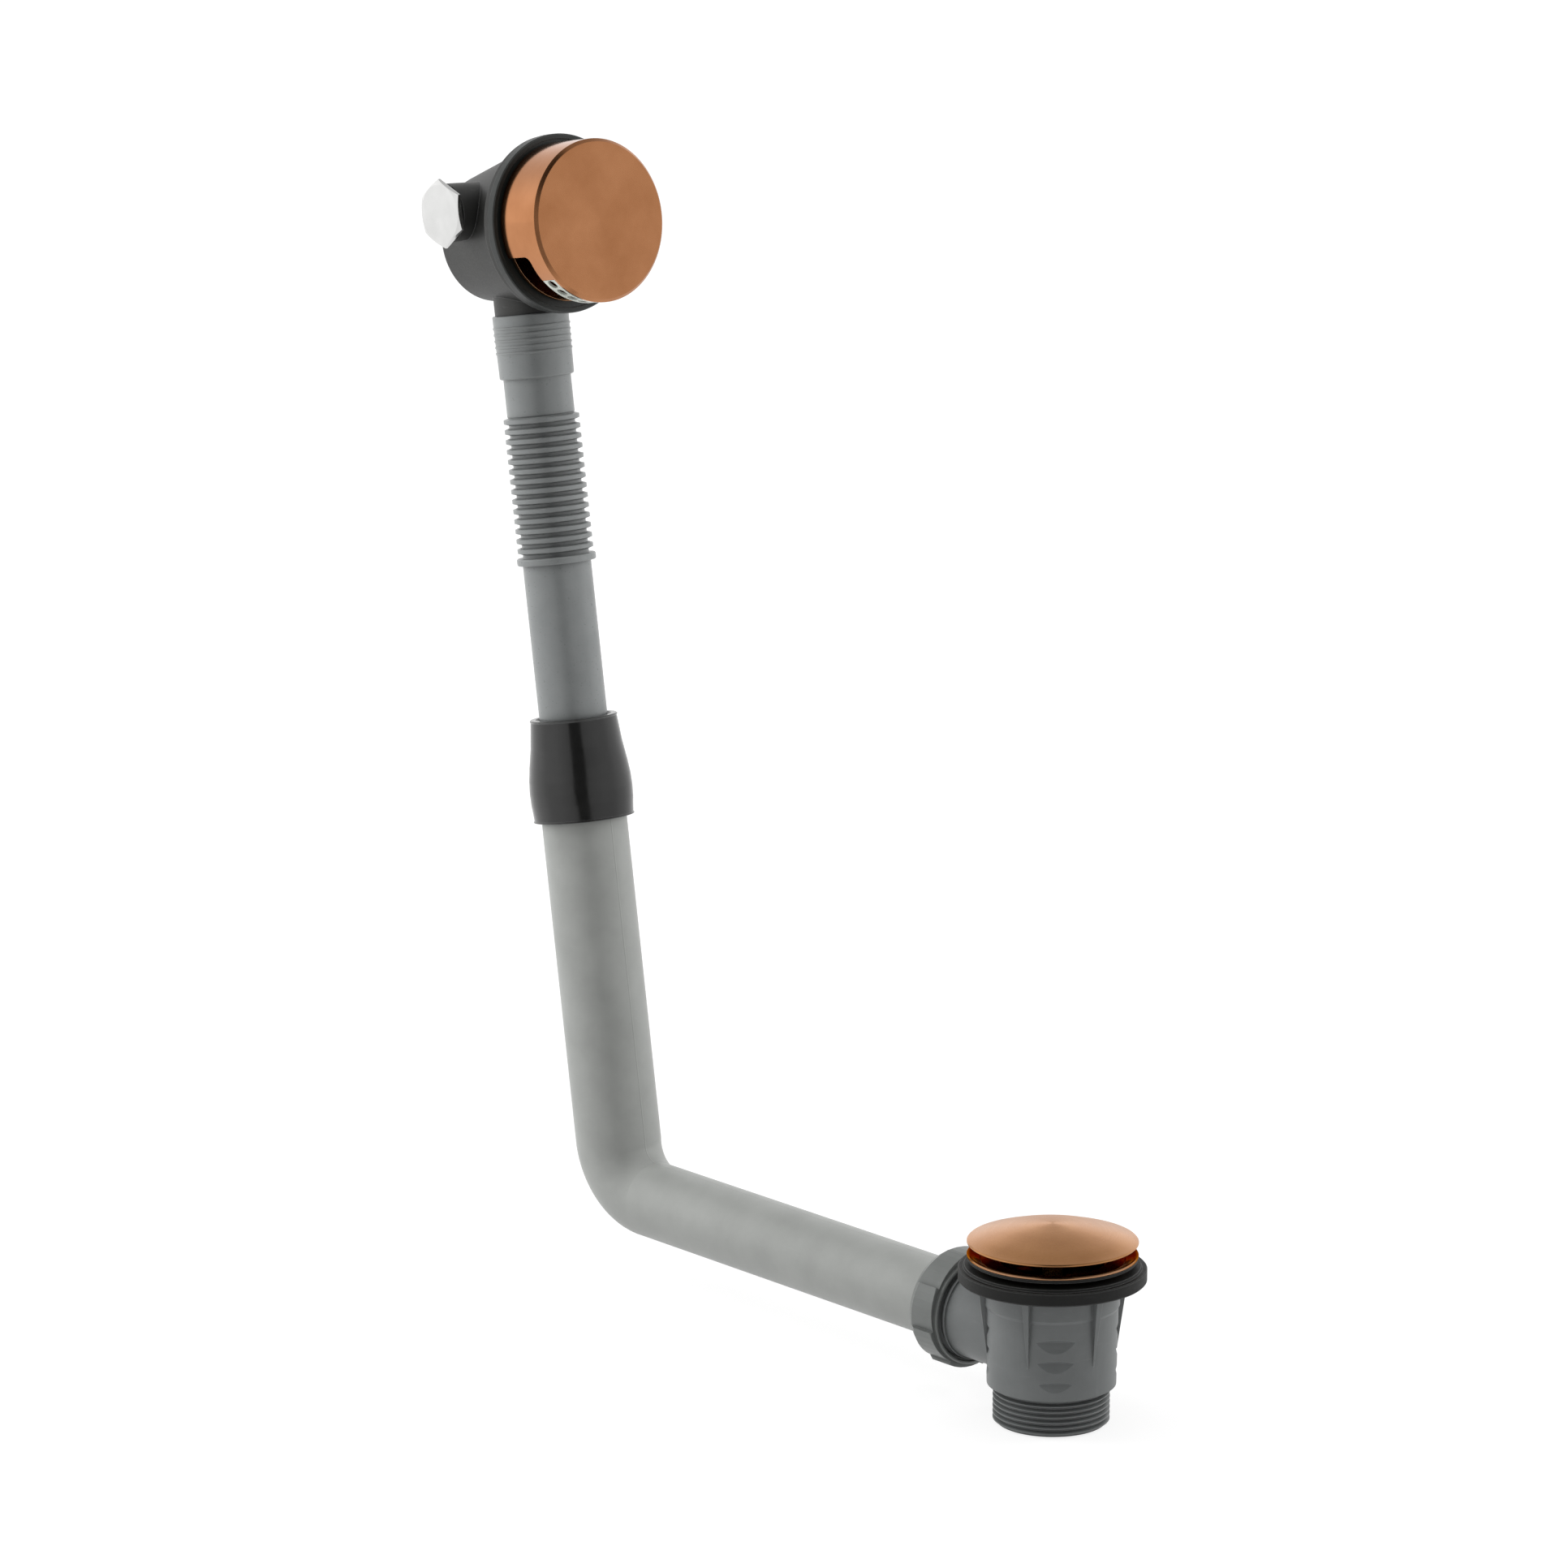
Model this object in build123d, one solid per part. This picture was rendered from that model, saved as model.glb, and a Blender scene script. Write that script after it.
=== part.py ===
from build123d import *
import os
from math import cos, radians, sin, sqrt, tan

# Millimetres. The origin is the centre of the outlet's lower end, +Z is up the waste's axis,
# and -X runs along the lower pipe to the elbow.

# Pipe threads of the Whitworth form: depth, crest land and root land as shares of the pitch
PITCH_11 = 25.4 / 11
PITCH_14 = 25.4 / 14
THREAD_DEPTH = 0.6403
THREAD_LAND = 1 / 6
THREAD_PLAY = 0.15

# Clearances, the bevel on small edges, and how far a cut passes a face
SEAT_PLAY = 0.1
RUN_PLAY = 0.08
SOFT_PLAY = 0.3
EDGE = 0.4
PASS = 1.0

# Waste body
OUTLET_CREST_R = 23.9
OUTLET_TURNS = 6
OUTLET_LEAD = 0.5
OUTLET_BORE_R = 19.6
SHOULDER_H = 1.9
BODY_R = 26.4
BODY_WALL = 2.1
BODY_TOP_R = 27.0
NOTCH_FIRST_Z = 23.3
NOTCH_SPACING = 8.9
NOTCH_ROWS = 3
NOTCH_SIDES = 4
NOTCH_TURN = -39.6
NOTCH_FLOOR_R = 25.6
NOTCH_SLOPE = 4.0
NECK_R = 27.6
NECK_STEP_H = 1.2
FLANGE_R = 36.6
FLANGE_H = 2.6
FLANGE_TOP_Z = 63.6
FIN_COUNT = 6
FIN_TURN = -4.0
FIN_W = 3.2
FIN_TIP_W = 0.6
FIN_OUT = 3.4
FIN_FOOT = 31.5
RUN_Z = 35.3

# Branch, union nut and its seals, measured from the waste's axis along the lower pipe
BRANCH_R = 19.3
RIB_R = 20.1
RIB_W = 1.0
BRANCH_CREST_R = 20.2
BRANCH_TURNS = 5
BRANCH_MOUTH = 58.4
NUT_FRONT = 45.2
NUT_LENGTH = 16.4
NUT_LIP_R = 22.6
NUT_LIP_W = 1.6
NUT_LIP_T = 1.1
NUT_RECESS = 2.2
NUT_GRIP_R = 23.4
NUT_GRIP_RISE = 1.6
NUT_GRIPS = 8
NUT_TURN = 12.0
GRIP_FACETS = 6
NUT_TAPER = 4.0
NUT_END_R = 22.5
NUT_END_T = 1.8
CONE_SEAL_DEPTH = 4.5
CONE_SEAL_LIP = 1.2
SLIP_RING_T = 1.2

# Elbow pipe
RUN_R = 16.6
RUN_WALL = 2.0
RUN_END = 27.5
ELBOW_X = 275.1
UPRIGHT_R = 18.65
UPRIGHT_WALL = 2.2
UPRIGHT_TOP = 190.0
LEAN = 9.05
BEND_R = 25.0
BEND_STATIONS = 7

# Waste gasket
GASKET_R = 38.4
GASKET_UNDER_T = 1.1
GASKET_TOP_T = 1.6
GASKET_LIP_R = 36.3
GASKET_LIP_H = 1.1
GASKET_LIP_IN = 30.2

# Waste flange and its washer
RIM_R = 34.9
RIM_TOP_Z = 70.9
RIM_T = 1.2
RIM_W = 2.2
DISH_R = 29.6
DISH_DROP = 2.5
TAIL_CREST_R = 23.6
TAIL_WALL = 1.3
TAIL_TURNS = 5
DISH_T = 1.2
BAR_H = 4.0
BAR_W = 3.2
BAR_COUNT = 3
HUB_R = 8.6
HUB_H = 5.0
WASHER_W = 2.7
WASHER_T = 1.2

# Push-to-close cartridge
CARTRIDGE_R = 6.2
CARTRIDGE_HEAD_R = 8.4
CARTRIDGE_HEAD_H = 2.4
CARTRIDGE_DROP = 22.0
CARTRIDGE_FLOOR = 2.0
DRAIN_R = 1.4
STEM_R = 4.1
STEM_LENGTH = 30.0
STEM_GROOVE_W = 1.9
STEM_GROOVE_DEPTH = 1.4
STEM_GROOVE_H = 9.0
SCREW_R = 3.0
SCREW_H = 5.0
SPRING_WIRE_R = 0.4
SPRING_TURNS = 7
LATCH_R = 0.75
LATCH_LENGTH = 3.0

# Plug
PLUG_R = 34.9
PLUG_GAP = 4.4
PLUG_EDGE_T = 1.1
PLUG_CROWN = 7.0
CROWN_POWER = 1.7
PLUG_SKIN = 2.0
PLUG_BOSS_R = 6.0
PLUG_SKIRT_R = 25.0
PLUG_SKIRT_T = 2.4
PLUG_SKIRT_DROP = 2.4
SKIRT_LEDGE = 0.6
SEAL_R = 29.0
SEAL_T = 1.8

# Black sleeve on the upright's mouth; its belly is radii at shares of its length from the foot
SLEEVE_GRIP = 25.0
SLEEVE_LENGTH = 44.5
SLEEVE_FOOT_R = 21.7
SLEEVE_FOOT_LIP = 0.4
SLEEVE_BELLY = [(22.35, 0.17), (22.5, 0.28), (22.25, 0.4), (21.5, 0.53), (20.1, 0.72)]
SLEEVE_NECK_R = 18.9
SLEEVE_LIP_R = 19.2
SLEEVE_LIP_W = 1.0
SLEEVE_GROOVE = 1.5
SLEEVE_LIPS = 3

# Flexible overflow tube, along the upright's axis from the elbow's corner
SLIDE_R = 14.9
SLIDE_WALL = 1.7
SLIDE_END = 100.0
STOP_S = 277.0
STOP_R = 17.2
STOP_W = 3.0
RIDGE_FIRST = 283.3
RIDGE_PITCH = 4.33
RIDGE_COUNT = 14
RIDGE_CREST = 0.4
RIDGE_FLANK = 0.16
RIDGE_NARROWING = 0.1
RIDGE_R = 16.5
VALLEY_R = 14.4
FLEX_WALL = 1.2
NECK_TUBE_R = 14.7
SOCKET_S = 358.0
SOCKET_TOP = 385.4
SOCKET_R = 16.2
SOCKET_TOP_R = 16.6
SOCKET_BORE_R = 14.9
SOCKET_FOOT = 4.0
SOCKET_RINGS = 5
SOCKET_RING_S = 368.6
SOCKET_RING_PITCH = 2.7
SOCKET_RING_W = 1.1
SOCKET_RING_H = 0.3

# Overflow head, depths measured back from the cap's face
HEAD_S = 422.7
SPIGOT_DEPTH = 55.4
CAP_R = 34.85
CAP_DEPTH = 24.3
CAP_FACE_T = 1.6
CAP_WALL = 1.3
CAP_BEVEL = 1.4
CUT_HALF_ANGLE = 69.5
CUT_DEPTH = 10.6
CUT_CORNER_R = 3.0
STRIP_HALF_ANGLE = 49.0
STRIP_END_PLAY = 0.2
STRIP_FRONT = 2.5
STRIP_T = 1.1
STRIP_HOLES = 10
STRIP_HOLE_W = 4.4
STRIP_HOLE_L = 5.0
COLLAR_T = 1.8
COLLAR_DEPTH = 14.0

# Insert that clamps the bath's wall
INSERT_PLAY = 0.25
INSERT_FRONT = 22.5
INSERT_T = 1.5
INSERT_HUB_R = 17.0
INSERT_HUB_FRONT = 8.0
INSERT_BORE_R = 14.8
WINDOW_COUNT = 4
WINDOW_W = 9.0
WINDOW_L = 5.5
INSERT_CREST_R = 19.1
INSERT_TURNS = 4
CAP_RING_T = 1.4

# Overflow body
WALL_GASKET_FRONT = 25.2
WALL_GASKET_R = 38.4
WALL_GASKET_T = 4.0
WALL_GASKET_RIM_W = 2.2
WALL_GASKET_RECESS = 0.6
PLATE_R = 38.1
PLATE_T = 2.4
SHELL_WALL = 2.2
CHAMBER_R = 35.2
BACK_R = 27.2
BACK_DROP = 3.6
BACK_DEPTH = 78.4
BACK_ROUND = 3.5
SPIGOT_R = 14.4
SPIGOT_SHOULDER_R = 15.3
SPIGOT_BORE_R = 12.4
SPIGOT_LENGTH = 22.0
SPIGOT_RING_T = 1.5
INLET_RISE = 9.4
INLET_ROOT_R = 12.1
INLET_MOUTH_R = 12.7
INLET_REACH = 39.5
INLET_CREST_R = 10.2
INLET_TURNS = 5

# Inlet plug, connector and their washers
INLET_WASHER_T = 1.2
INLET_WASHER_R = 12.2
PLUG_HEX_AF = 25.8
PLUG_HEX_H = 2.2
HEX_BEVEL = 1.1
CONNECTOR_HEX_AF = 24.0
CONNECTOR_HEX_H = 5.0
HOSE_CREST_R = 10.48
CONNECTOR_TURNS = 6
CONNECTOR_BORE_R = 6.5

RUN = Plane(origin=(0, 0, RUN_Z), x_dir=(0, 1, 0), z_dir=(-1, 0, 0))
CORNER = Vector(-ELBOW_X, 0, RUN_Z)
UP_DIR = Vector(-sin(radians(LEAN)), 0, cos(radians(LEAN)))
OUT_DIR = Vector(cos(radians(LEAN)), 0, sin(radians(LEAN)))
UPRIGHT = Plane(origin=CORNER, x_dir=(0, 1, 0), z_dir=UP_DIR)
HEAD = Plane(origin=CORNER + UP_DIR * HEAD_S + OUT_DIR * SPIGOT_DEPTH, x_dir=(0, 1, 0), z_dir=OUT_DIR)

# Heights and depths that follow from the sizes above
THREAD_TOP_Z = OUTLET_LEAD + OUTLET_TURNS * PITCH_11
SHOULDER_Z = THREAD_TOP_Z + SHOULDER_H
FLANGE_UNDER_Z = FLANGE_TOP_Z - FLANGE_H
GASKET_TOP_Z = FLANGE_TOP_Z + GASKET_TOP_T
TAIL_END_Z = FLANGE_TOP_Z - SEAT_PLAY - (TAIL_TURNS + 1) * PITCH_11
RIM_UNDER_Z = RIM_TOP_Z - RIM_T
DISH_Z = RIM_TOP_Z - DISH_DROP
BORE_R = TAIL_CREST_R - THREAD_DEPTH * PITCH_11 - TAIL_WALL
CARTRIDGE_TOP_Z = TAIL_END_Z + HUB_H + CARTRIDGE_HEAD_H
CARTRIDGE_END_Z = TAIL_END_Z - CARTRIDGE_DROP
PLUG_Z = RIM_TOP_Z + PLUG_GAP
SLEEVE_FOOT_S = UPRIGHT_TOP - SLEEVE_GRIP
PLATE_DEPTH = WALL_GASKET_FRONT + WALL_GASKET_T
SHELL_DEPTH = PLATE_DEPTH + PLATE_T
INSERT_R = CAP_R - CAP_WALL - INSERT_PLAY
SOCKET_TOP_Y = SOCKET_TOP - HEAD_S


def turned(points):
    """A solid of revolution about Z from points given as radius and height."""
    outline = make_face(Polyline(*points, close=True))
    return revolve(Plane.XZ * outline, axis=Axis.Z)


def ring(outer_r, inner_r, low, high):
    return turned([(inner_r, low), (outer_r, low), (outer_r, high), (inner_r, high)])


def rod(radius, low, high):
    return turned([(0, low), (radius, low), (radius, high), (0, high)])


def thread(crest_r, start, turns, pitch, play=0.0):
    """Outline of a pipe thread as rings, from its start upwards."""
    depth = THREAD_DEPTH * pitch
    land = THREAD_LAND * pitch
    flank = pitch / 2 - land
    points = []
    for turn in range(turns):
        low = start + turn * pitch
        points += [
            (crest_r - depth + play, low),
            (crest_r + play, low + flank),
            (crest_r + play, low + flank + land),
            (crest_r - depth + play, low + 2 * flank + land),
        ]
    return points


def hexagon(across_flats, height, bevel):
    """A hexagon head whose top corners are turned off, standing on Z = 0."""
    prism = extrude(RegularPolygon(across_flats / 2, 6, major_radius=False), height)
    corner_r = across_flats / sqrt(3)
    turning = turned([
        (0, 0), (corner_r + PASS, 0), (corner_r + PASS, height - bevel),
        (corner_r, height - bevel), (across_flats / 2 - EDGE, height), (0, height),
    ])
    return prism & turning


def sector(radius, half_angle, front, back):
    """A wedge of a disc about the bottom of the head, between two depths."""
    arc = CenterArc((0, 0), radius + PASS, -90 - half_angle, 2 * half_angle)
    wedge = make_face([Line((0, 0), arc @ 0), arc, Line(arc @ 1, (0, 0))])
    return Pos(0, 0, -back) * extrude(wedge, back - front)


def waste_body():
    root_r = OUTLET_CREST_R - THREAD_DEPTH * PITCH_11
    outside = [(0, 0), (root_r, 0)] + thread(OUTLET_CREST_R, OUTLET_LEAD, OUTLET_TURNS, PITCH_11)
    neck_z = NOTCH_FIRST_Z + NOTCH_ROWS * NOTCH_SPACING
    outside += [(BODY_R, SHOULDER_Z), (BODY_TOP_R, neck_z - NECK_STEP_H), (NECK_R, neck_z)]
    outside += [(NECK_R, FLANGE_UNDER_Z), (FLANGE_R, FLANGE_UNDER_Z), (FLANGE_R, FLANGE_TOP_Z)]
    outside += [(0, FLANGE_TOP_Z)]
    body = turned(outside) - notches()
    body += fins()
    body += RUN * branch_outside()
    female = thread(TAIL_CREST_R, TAIL_END_Z, TAIL_TURNS + 1, PITCH_11, THREAD_PLAY)
    chamber_r = BODY_R - BODY_WALL
    inside = [(0, -PASS), (OUTLET_BORE_R, -PASS), (OUTLET_BORE_R, SHOULDER_Z - BODY_WALL / 2)]
    inside += [(chamber_r, SHOULDER_Z + BODY_WALL), (chamber_r, TAIL_END_Z)] + female
    inside += [(female[-1][0], FLANGE_TOP_Z + PASS), (0, FLANGE_TOP_Z + PASS)]
    body -= turned(inside)
    body -= RUN * rod(RUN_R + SEAT_PLAY, RUN_END, BRANCH_MOUTH + PASS)
    body -= RUN * rod(RUN_R - RUN_WALL, 0, RUN_END + PASS)
    body -= RUN * seal_cone(RUN_R, SEAT_PLAY / 2)
    return body


def notches():
    """Rows of straight notches across the sides of the body's wall, with a steep upper face."""
    deep = NECK_R + PASS - NOTCH_FLOOR_R
    cuts = []
    for row in range(NOTCH_ROWS):
        floor_z = NOTCH_FIRST_Z + row * NOTCH_SPACING
        face = make_face(Polyline(
            (NOTCH_FLOOR_R, floor_z), (NOTCH_FLOOR_R + deep, floor_z + deep),
            (NOTCH_FLOOR_R + deep, floor_z - NOTCH_SLOPE * deep), close=True))
        cut = extrude(Plane.XZ * face, BODY_R, both=True)
        for side in range(NOTCH_SIDES):
            cuts.append(Rot(0, 0, NOTCH_TURN + side * 360 / NOTCH_SIDES) * cut)
    return cuts


def fins():
    """Ribs under the body's top flange, which taper to a point down the wall."""
    low = FLANGE_UNDER_Z - FIN_FOOT
    inner_r = BODY_R - BODY_WALL / 2
    top_w = NECK_R + FIN_OUT - inner_r
    foot_w = BODY_R + EDGE - inner_r
    top = Pos(inner_r + top_w / 2, 0, FLANGE_UNDER_Z) * Rectangle(top_w, FIN_W)
    foot = Pos(inner_r + foot_w / 2, 0, low) * Rectangle(foot_w, FIN_TIP_W)
    fin = loft([foot, top])
    step = 360 / FIN_COUNT
    return [Rot(0, 0, FIN_TURN + step * i) * fin for i in range(FIN_COUNT)]


def branch_outside():
    """The side branch along +Z from the waste's axis, with its rib and nut thread."""
    start = BRANCH_MOUTH - BRANCH_TURNS * PITCH_11 - SEAT_PLAY
    root_r = BRANCH_CREST_R - THREAD_DEPTH * PITCH_11
    rib = NUT_FRONT - SEAT_PLAY - 2 * RIB_W
    return turned(
        [(0, 0), (BRANCH_R, 0), (BRANCH_R, rib), (RIB_R, rib), (RIB_R, rib + RIB_W)]
        + [(BRANCH_R, rib + RIB_W), (BRANCH_R, NUT_FRONT), (root_r, NUT_FRONT + PASS)]
        + thread(BRANCH_CREST_R, start, BRANCH_TURNS, PITCH_11)
        + [(root_r, BRANCH_MOUTH), (0, BRANCH_MOUTH)]
    )


def seal_cone(inner_r, play):
    """The taper in the branch's mouth, or with no play the seal that fills it."""
    low = BRANCH_MOUTH - CONE_SEAL_DEPTH - play
    foot_r = RUN_R + SOFT_PLAY + play
    mouth_r = BRANCH_CREST_R - THREAD_DEPTH * PITCH_11 - CONE_SEAL_LIP + play
    high = BRANCH_MOUTH + play
    return turned([(inner_r, low), (foot_r, low), (mouth_r, high), (inner_r, high)])


def cone_washer():
    return RUN * seal_cone(RUN_R + SEAT_PLAY / 2, 0.0)


def slip_ring():
    outer_r = BRANCH_CREST_R - THREAD_DEPTH * PITCH_11 / 2
    return RUN * ring(outer_r, RUN_R + SEAT_PLAY, BRANCH_MOUTH, BRANCH_MOUTH + SLIP_RING_T)


def union_nut():
    turns = BRANCH_TURNS - 1
    start = BRANCH_MOUTH - turns * PITCH_11 - SEAT_PLAY
    female = thread(BRANCH_CREST_R, start, turns, PITCH_11, THREAD_PLAY)
    ring_back = BRANCH_MOUTH + SLIP_RING_T
    clear_r = BRANCH_CREST_R + THREAD_PLAY
    recess_r = NUT_LIP_R - NUT_LIP_T
    pipe_r = RUN_R + 2 * SEAT_PLAY
    end = max(NUT_FRONT + NUT_LENGTH, ring_back + NUT_END_T)
    shape = turned(
        [(clear_r, NUT_FRONT + NUT_RECESS), (recess_r, NUT_FRONT + NUT_RECESS), (recess_r, NUT_FRONT)]
        + [(NUT_LIP_R - EDGE, NUT_FRONT), (NUT_LIP_R, NUT_FRONT + EDGE), (NUT_LIP_R, end - EDGE)]
        + [(NUT_LIP_R - EDGE, end), (pipe_r, end)]
        + [(pipe_r, ring_back), (clear_r, ring_back), (clear_r, BRANCH_MOUTH)]
        + female[::-1]
        + [(clear_r, start)]
    )
    shape += nut_grips(NUT_FRONT + NUT_LIP_W, end - EDGE) - rod(NUT_LIP_R - EDGE, 0, end + PASS)
    return RUN * shape


def nut_grips(low, high):
    """Saw-toothed grips: each rises round the nut and ends in a step."""
    step = radians(360 / NUT_GRIPS)
    corners = []
    for i in range(NUT_GRIPS):
        for j in range(GRIP_FACETS + 1):
            angle = step * (i + j / GRIP_FACETS) - radians(NUT_TURN)
            radius = NUT_GRIP_R + NUT_GRIP_RISE * j / GRIP_FACETS
            corners.append((radius * cos(angle), radius * sin(angle)))
    blank = Pos(0, 0, low) * extrude(make_face(Polyline(*corners, close=True)), high - low)
    top_r = NUT_GRIP_R + NUT_GRIP_RISE
    turning = turned([
        (0, low), (top_r - EDGE, low), (top_r, low + EDGE), (top_r, high - NUT_TAPER),
        (NUT_END_R, high), (0, high),
    ])
    return blank & turning


def bend_station(share, inset):
    """One round section of the elbow, from the lower run to the upright."""
    turn = radians(90 - LEAN)
    tangent = BEND_R * tan(turn / 2)
    centre = CORNER + Vector(tangent, 0, BEND_R)
    angle = turn * share
    out = Vector(-sin(angle), 0, -cos(angle))
    along = Vector(-cos(angle), 0, sin(angle))
    radius = RUN_R - RUN_WALL * inset
    radius += (UPRIGHT_R - UPRIGHT_WALL * inset - radius) * share
    return Plane(origin=centre + out * BEND_R, x_dir=(0, 1, 0), z_dir=along) * Circle(radius)


def bend(inset):
    return loft([bend_station(i / (BEND_STATIONS - 1), inset) for i in range(BEND_STATIONS)])


def elbow_pipe():
    tangent = BEND_R * tan(radians(90 - LEAN) / 2)
    bend_start = ELBOW_X - tangent
    shape = RUN * rod(RUN_R, RUN_END, bend_start)
    shape += bend(0)
    shape += UPRIGHT * rod(UPRIGHT_R, tangent, UPRIGHT_TOP)
    shape -= RUN * rod(RUN_R - RUN_WALL, RUN_END - PASS, bend_start)
    shape -= bend(1)
    shape -= UPRIGHT * rod(UPRIGHT_R - UPRIGHT_WALL, tangent, UPRIGHT_TOP + PASS)
    return shape


def waste_gasket():
    """It wraps the edge of the body's flange, with a raised lip on its top."""
    under = FLANGE_UNDER_Z - GASKET_UNDER_T
    lip_top = GASKET_TOP_Z + GASKET_LIP_H
    grip_r = FLANGE_R + SEAT_PLAY
    inner_r = OUTLET_CREST_R + 2 * SOFT_PLAY
    under_r = NECK_R + FIN_OUT + SOFT_PLAY
    return turned([
        (under_r, under), (GASKET_R - EDGE, under), (GASKET_R, under + EDGE),
        (GASKET_R, GASKET_TOP_Z - EDGE), (GASKET_R - EDGE, GASKET_TOP_Z), (GASKET_LIP_R, GASKET_TOP_Z),
        (GASKET_LIP_R - EDGE, lip_top), (GASKET_LIP_IN, lip_top), (GASKET_LIP_IN - EDGE, GASKET_TOP_Z),
        (inner_r, GASKET_TOP_Z), (inner_r, FLANGE_TOP_Z), (grip_r, FLANGE_TOP_Z),
        (grip_r, FLANGE_UNDER_Z), (under_r, FLANGE_UNDER_Z),
    ])


def waste_flange():
    male = thread(TAIL_CREST_R, TAIL_END_Z, TAIL_TURNS + 1, PITCH_11)
    under_dish = DISH_Z - DISH_T
    shape = turned(
        [(BORE_R, TAIL_END_Z)] + male
        + [(TAIL_CREST_R - PASS, under_dish - EDGE), (DISH_R + EDGE, under_dish)]
        + [(RIM_R - WASHER_W - EDGE, RIM_UNDER_Z), (RIM_R - EDGE, RIM_UNDER_Z), (RIM_R, RIM_UNDER_Z + EDGE)]
        + [(RIM_R, RIM_TOP_Z - EDGE), (RIM_R - EDGE, RIM_TOP_Z), (RIM_R - RIM_W / 2, RIM_TOP_Z)]
        + [(RIM_R - RIM_W, RIM_TOP_Z - EDGE), (DISH_R, DISH_Z + EDGE), (DISH_R - EDGE, DISH_Z)]
        + [(BORE_R + DISH_T, DISH_Z - EDGE), (BORE_R, DISH_Z - DISH_T)]
    )
    for i in range(BAR_COUNT):
        arm = Pos((BORE_R + EDGE) / 2, 0, TAIL_END_Z + BAR_H / 2) * Box(BORE_R + EDGE, BAR_W, BAR_H)
        shape += Rot(0, 0, i * 360 / BAR_COUNT) * arm
    shape += rod(HUB_R, TAIL_END_Z, TAIL_END_Z + HUB_H)
    shape -= rod(CARTRIDGE_R + SEAT_PLAY / 2, TAIL_END_Z - PASS, TAIL_END_Z + HUB_H + PASS)
    return shape


def flange_washer():
    return ring(RIM_R - EDGE, RIM_R - WASHER_W, RIM_UNDER_Z - WASHER_T, RIM_UNDER_Z)


def latch_height():
    """The latch pin's height, which the stem's groove passes at every stroke."""
    return CARTRIDGE_TOP_Z - CARTRIDGE_HEAD_H - HUB_H / 4


def clicker_housing():
    top = CARTRIDGE_TOP_Z
    shape = turned([
        (0, CARTRIDGE_END_Z), (CARTRIDGE_R, CARTRIDGE_END_Z), (CARTRIDGE_R, top - CARTRIDGE_HEAD_H),
        (CARTRIDGE_HEAD_R, top - CARTRIDGE_HEAD_H), (CARTRIDGE_HEAD_R, top - EDGE),
        (CARTRIDGE_HEAD_R - EDGE, top), (0, top),
    ])
    floor = CARTRIDGE_END_Z + CARTRIDGE_FLOOR
    shape -= rod(STEM_R + RUN_PLAY, floor, top + PASS)
    shape -= rod(DRAIN_R, CARTRIDGE_END_Z - PASS, floor + PASS)
    hole = rod(LATCH_R + SEAT_PLAY / 2, 0, CARTRIDGE_R + PASS)
    return shape - Pos(0, 0, latch_height()) * Rot(0, 90, 0) * hole


def latch_pin():
    pin = rod(LATCH_R, CARTRIDGE_R - LATCH_LENGTH, CARTRIDGE_R - SEAT_PLAY)
    return Pos(0, 0, latch_height()) * Rot(0, 90, 0) * pin


def stem_top():
    return PLUG_Z - PLUG_SKIRT_DROP


def clicker_stem():
    top = stem_top()
    shape = rod(STEM_R, top - STEM_LENGTH, top) + rod(SCREW_R, top, top + SCREW_H)
    floor_r = STEM_R - STEM_GROOVE_DEPTH
    groove_mid = latch_height() - LATCH_R - SOFT_PLAY + STEM_GROOVE_H / 2
    groove = Pos(floor_r + STEM_R / 2, 0, groove_mid) * Box(STEM_R, STEM_GROOVE_W, STEM_GROOVE_H)
    return shape - groove


def clicker_spring():
    low = CARTRIDGE_END_Z + CARTRIDGE_FLOOR + SPRING_WIRE_R
    high = stem_top() - STEM_LENGTH - SPRING_WIRE_R
    coil_r = STEM_R - SPRING_WIRE_R - SOFT_PLAY
    path = Helix(pitch=(high - low) / SPRING_TURNS, height=high - low, radius=coil_r)
    section = Plane(origin=path @ 0, z_dir=path % 0) * Circle(SPRING_WIRE_R)
    return Pos(0, 0, low) * sweep(section, path=path)


def crown(z, count=7):
    """Points of the plug's shallow dome, from its edge to its centre."""
    shares = [1 - i / (count - 1) for i in range(count)]
    return [((PLUG_R - EDGE) * share, z + PLUG_CROWN * (1 - share ** CROWN_POWER)) for share in shares]


def plug_cover():
    edge_top = PLUG_Z + PLUG_EDGE_T
    crown_top = edge_top + PLUG_CROWN
    ceiling = crown_top - PLUG_SKIN
    skirt_end = PLUG_Z - PLUG_SKIRT_DROP
    skirt_in = PLUG_SKIRT_R - PLUG_SKIRT_T
    ledge_r = PLUG_SKIRT_R + SKIRT_LEDGE
    top = Spline(*crown(edge_top), tangents=((-1, 0.25), (-1, 0)))
    under = Polyline(
        (0, crown_top), (0, ceiling), (PLUG_BOSS_R + EDGE, ceiling), (skirt_in, edge_top),
        (skirt_in, skirt_end), (ledge_r, skirt_end), (ledge_r, skirt_end + EDGE),
        (PLUG_SKIRT_R, skirt_end + EDGE), (PLUG_SKIRT_R, PLUG_Z), (PLUG_R - EDGE, PLUG_Z),
        (PLUG_R, PLUG_Z + EDGE), (PLUG_R, edge_top - EDGE), (PLUG_R - EDGE, edge_top),
    )
    shape = revolve(Plane.XZ * make_face(Wire([top, *under.edges()])), axis=Axis.Z)
    shape += rod(PLUG_BOSS_R, stem_top(), ceiling)
    shape -= rod(SCREW_R + SEAT_PLAY / 2, stem_top() - PASS, stem_top() + SCREW_H + SEAT_PLAY)
    return shape


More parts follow.
